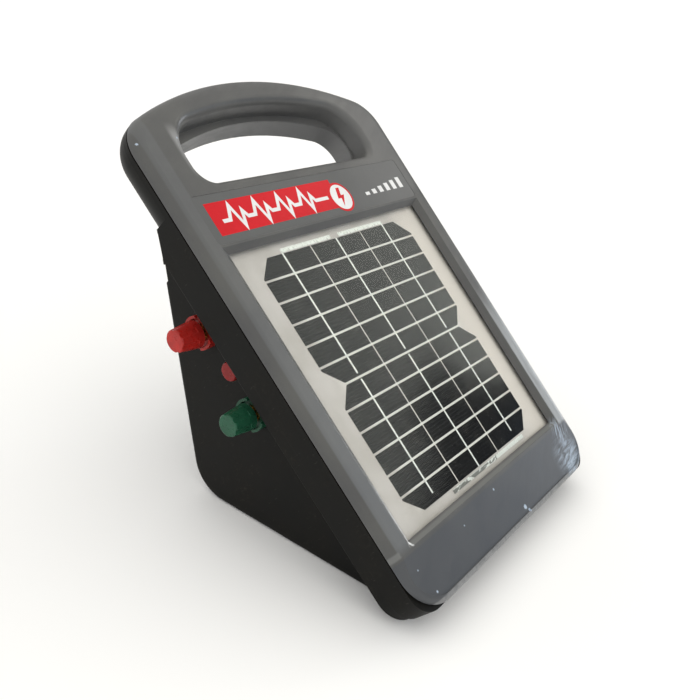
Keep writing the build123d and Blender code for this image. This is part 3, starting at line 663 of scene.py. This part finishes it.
# Brighter parts of the upper light: heading, height, inner and outer reach in degrees, gain.
GLOWS = ((118, 30, 4, 20, 1.5), (96, 30, 2, 15, 1.9), (109, 25, 2, 9, 2.25))
DIM = (108, 20, 10, 75)    # dim place under the upper light: heading, height, inner and outer reach
HAZE = (124, 12, 12, 30)   # bluish part of it, in the same way
WINDOW = (104.0, 6.0, 5.6, 14.0)        # low bright window, in the same way
LIGHT_STRENGTH = 1.22
BACKDROP = (0.94, 0.945, 0.95, 1)       # what the camera sees behind the floor

LENS = 43.19                            # focal length in millimetres, on a 36 mm sensor
LENS_SHIFT = (-0.0724, 0.0915)
CAMERA_AT = (-0.43568, -0.22952, 0.33721)
CAMERA_AIM = (62.17, -29.54)            # heading and height in degrees
CAMERA_ROLL = 11.29                     # degrees


def floor():
    """Plain pale floor."""
    half = FLOOR_HALF
    mesh = bpy.data.meshes.new("floor")
    corners = [(-half, -half, 0), (half, -half, 0), (half, half, 0), (-half, half, 0)]
    mesh.from_pydata(corners, [], [(0, 1, 2, 3)])
    look = bpy.data.materials.new("pale_floor")
    look.use_nodes = True
    shader = look.node_tree.nodes["Principled BSDF"]
    shader.inputs["Base Color"].default_value = (0.96, 0.96, 0.96, 1)
    shader.inputs["Roughness"].default_value = 0.9
    shader.inputs["Specular IOR Level"].default_value = 0.1
    mesh.materials.append(look)
    thing = stand("floor", mesh)


def aim(heading, rise):
    """Direction with the given heading from +Y towards +X and height above the floor, in degrees."""
    heading, rise = radians(heading), radians(rise)
    return Vector((sin(heading) * cos(rise), cos(heading) * cos(rise), sin(rise)))


class Sky:
    """The studio's light from all round, built as one node tree."""

    def __init__(self):
        self.world = bpy.data.worlds.new("studio")
        self.world.use_nodes = True
        self.tree = self.world.node_tree
        self.towards = self.node("TexCoord", {}, "Generated")

    # The same building steps as a material's.
    node, plug, step = Look.node, Look.plug, Look.step
    sums, times, blend = Look.sums, Look.times, Look.blend

    def near(self, heading, rise, inner, outer):
        """1 within the inner angle of a direction, 0 beyond the outer one, all in degrees."""
        agree = self.node("VectorMath", {0: self.towards, 1: aim(heading, rise)}, "Value",
                          operation="DOT_PRODUCT")
        return self.step(agree, cos(radians(outer)), cos(radians(inner)))


def studio():
    """Bright above, brightest to the right, over paler light with a dim place and a cool window in it.

    The bright and dim places are set so that reflections fall as in the photograph. They show
    only in reflections: behind the floor stands a plain pale backdrop."""
    sky = Sky()
    bpy.context.scene.world = sky.world
    clouds = sky.node("TexNoise", {"Vector": sky.towards, "Scale": 11.0, "Detail": 6.0}, "Fac")
    height = sky.node("SeparateXYZ", {"Vector": sky.towards}, "Z")
    height = sky.sums("ADD", height, sky.times(sky.sums("SUBTRACT", clouds, 0.5), 0.045))
    for *place, lift in SAGS:
        height = sky.sums("ADD", height, sky.times(sky.near(*place), lift))

    bright = (1.0, 0.985, 0.94, 1)
    for *place, gain in GLOWS:
        bright = sky.blend(sky.near(*place), bright, (gain, gain * 0.98, gain * 0.92, 1))
    low = sky.blend(sky.near(*DIM), (0.75, 0.76, 0.78, 1), (0.05, 0.05, 0.055, 1))
    edge = sin(radians(SKY_LOW))
    light = sky.blend(sky.step(height, edge - SKY_FADE, edge + SKY_FADE), low, bright)
    haze = sky.times(sky.step(height, 0.40, 0.31), sky.near(*HAZE))
    light = sky.blend(haze, light, (0.15, 0.25, 0.40, 1))
    light = sky.blend(sky.near(*WINDOW), light, (4.2, 4.4, 4.7, 1))

    lights = sky.tree.nodes["Background"]
    sky.plug(lights.inputs["Color"], light)
    lights.inputs["Strength"].default_value = LIGHT_STRENGTH
    backdrop = sky.node("Background", {"Color": BACKDROP}, "Background")
    seen = sky.node("LightPath", {}, "Is Camera Ray")
    shown = sky.node("MixShader", {0: seen, 1: lights.outputs["Background"], 2: backdrop}, "Shader")
    sky.plug(sky.tree.nodes["World Output"].inputs["Surface"], shown)


def camera():
    """The photograph's view, as it follows from the perspective of the wafers' grid."""
    data = bpy.data.cameras.new("camera")
    data.sensor_width = 36.0
    data.lens = LENS
    data.shift_x, data.shift_y = LENS_SHIFT
    data.clip_end = 50.0
    ahead = aim(*CAMERA_AIM)
    level = ahead.cross(Vector((0, 0, 1))).normalized()
    up = level.cross(ahead)
    roll = radians(CAMERA_ROLL)
    right = level * cos(roll) + up * sin(roll)
    pose = Matrix((right, right.cross(ahead), -ahead)).transposed().to_4x4()
    pose.translation = CAMERA_AT
    thing = stand("camera", data)
    thing.matrix_world = pose
    bpy.context.scene.camera = thing


camera()
floor()
studio()
bpy.context.scene.view_settings.view_transform = "Standard"
dress()
label_marks()
